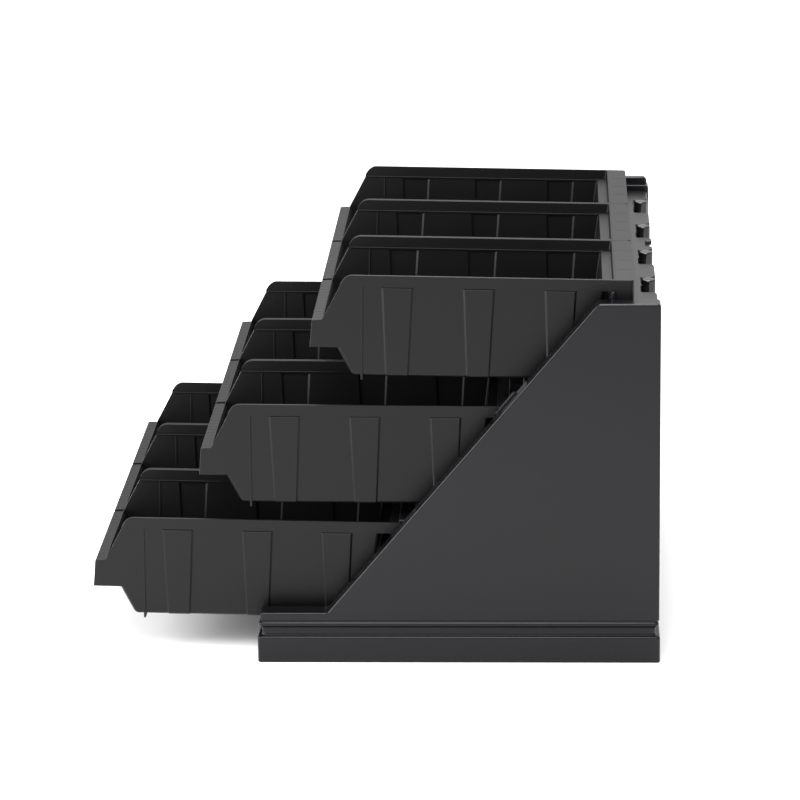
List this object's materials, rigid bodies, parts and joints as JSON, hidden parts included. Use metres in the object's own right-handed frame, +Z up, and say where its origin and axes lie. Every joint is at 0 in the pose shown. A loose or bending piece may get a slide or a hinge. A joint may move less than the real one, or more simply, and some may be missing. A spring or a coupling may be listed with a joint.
{
  "type": "tiered bin organizer rack",
  "caption": "Stepped countertop rack with a plinth base, sloped side panels and open-fronted bins in tiers; upper bins lift off, lower bins pull forward.",
  "frame": {"origin": "middle of the rack's bounding box, on the counter surface under the plinth", "axes": "+X is the rack's right side seen from the front, -Y is the open front of the bins, +Z is up"},
  "size_m": [0.512, 0.5418, 0.3746],
  "materials": {
    "bin_plastic": "fine matte moulded",
    "stand_plastic": "satin moulded",
    "post_enamel": "gloss",
    "screw_zinc": "zinc plated"
  },
  "bodies": {
    "stand": {"base_plinth": "stand_plastic", "side_panel_left": "stand_plastic", "side_panel_right": "stand_plastic", "top_rail": "stand_plastic", "middle_rail": "stand_plastic", "bottom_rail": "stand_plastic", "top_stop_bar": "stand_plastic", "middle_rest_bar": "stand_plastic", "post_1": "post_enamel", "post_2": "post_enamel", "post_3": "post_enamel", "post_4": "post_enamel", "base_screw_1": "screw_zinc", "base_screw_2": "screw_zinc", "base_screw_3": "screw_zinc", "base_screw_4": "screw_zinc", "base_screw_5": "screw_zinc", "base_screw_6": "screw_zinc", "post_screw_1": "screw_zinc", "post_screw_2": "screw_zinc", "post_screw_3": "screw_zinc", "post_screw_4": "screw_zinc"},
    "bin_top_1": {"bin_top_1": "bin_plastic"},
    "bin_top_2": {"bin_top_2": "bin_plastic"},
    "bin_top_3": {"bin_top_3": "bin_plastic"},
    "bin_middle_1": {"bin_middle_1": "bin_plastic"},
    "bin_middle_2": {"bin_middle_2": "bin_plastic"},
    "bin_middle_3": {"bin_middle_3": "bin_plastic"},
    "bin_bottom_1": {"bin_bottom_1": "bin_plastic"},
    "bin_bottom_2": {"bin_bottom_2": "bin_plastic"},
    "bin_bottom_3": {"bin_bottom_3": "bin_plastic"}
  },
  "joints": [
    {"name": "bin_top_1_lift", "type": "slide", "parent": "stand", "child": "bin_top_1", "axis": [0, 0, 1], "range_m": [0, 0.14]},
    {"name": "bin_top_2_lift", "type": "slide", "parent": "stand", "child": "bin_top_2", "axis": [0, 0, 1], "range_m": [0, 0.14]},
    {"name": "bin_top_3_lift", "type": "slide", "parent": "stand", "child": "bin_top_3", "axis": [0, 0, 1], "range_m": [0, 0.14]},
    {"name": "bin_middle_1_pull", "type": "slide", "parent": "stand", "child": "bin_middle_1", "axis": [0, -0.9999, 0.0105], "range_m": [0, 0.3]},
    {"name": "bin_middle_2_pull", "type": "slide", "parent": "stand", "child": "bin_middle_2", "axis": [0, -0.9999, 0.0105], "range_m": [0, 0.3]},
    {"name": "bin_middle_3_pull", "type": "slide", "parent": "stand", "child": "bin_middle_3", "axis": [0, -0.9999, 0.0105], "range_m": [0, 0.3]},
    {"name": "bin_bottom_1_pull", "type": "slide", "parent": "stand", "child": "bin_bottom_1", "axis": [0, -0.9998, 0.0209], "range_m": [0, 0.3]},
    {"name": "bin_bottom_2_pull", "type": "slide", "parent": "stand", "child": "bin_bottom_2", "axis": [0, -0.9998, 0.0209], "range_m": [0, 0.3]},
    {"name": "bin_bottom_3_pull", "type": "slide", "parent": "stand", "child": "bin_bottom_3", "axis": [0, -0.9998, 0.0209], "range_m": [0, 0.3]}
  ]
}
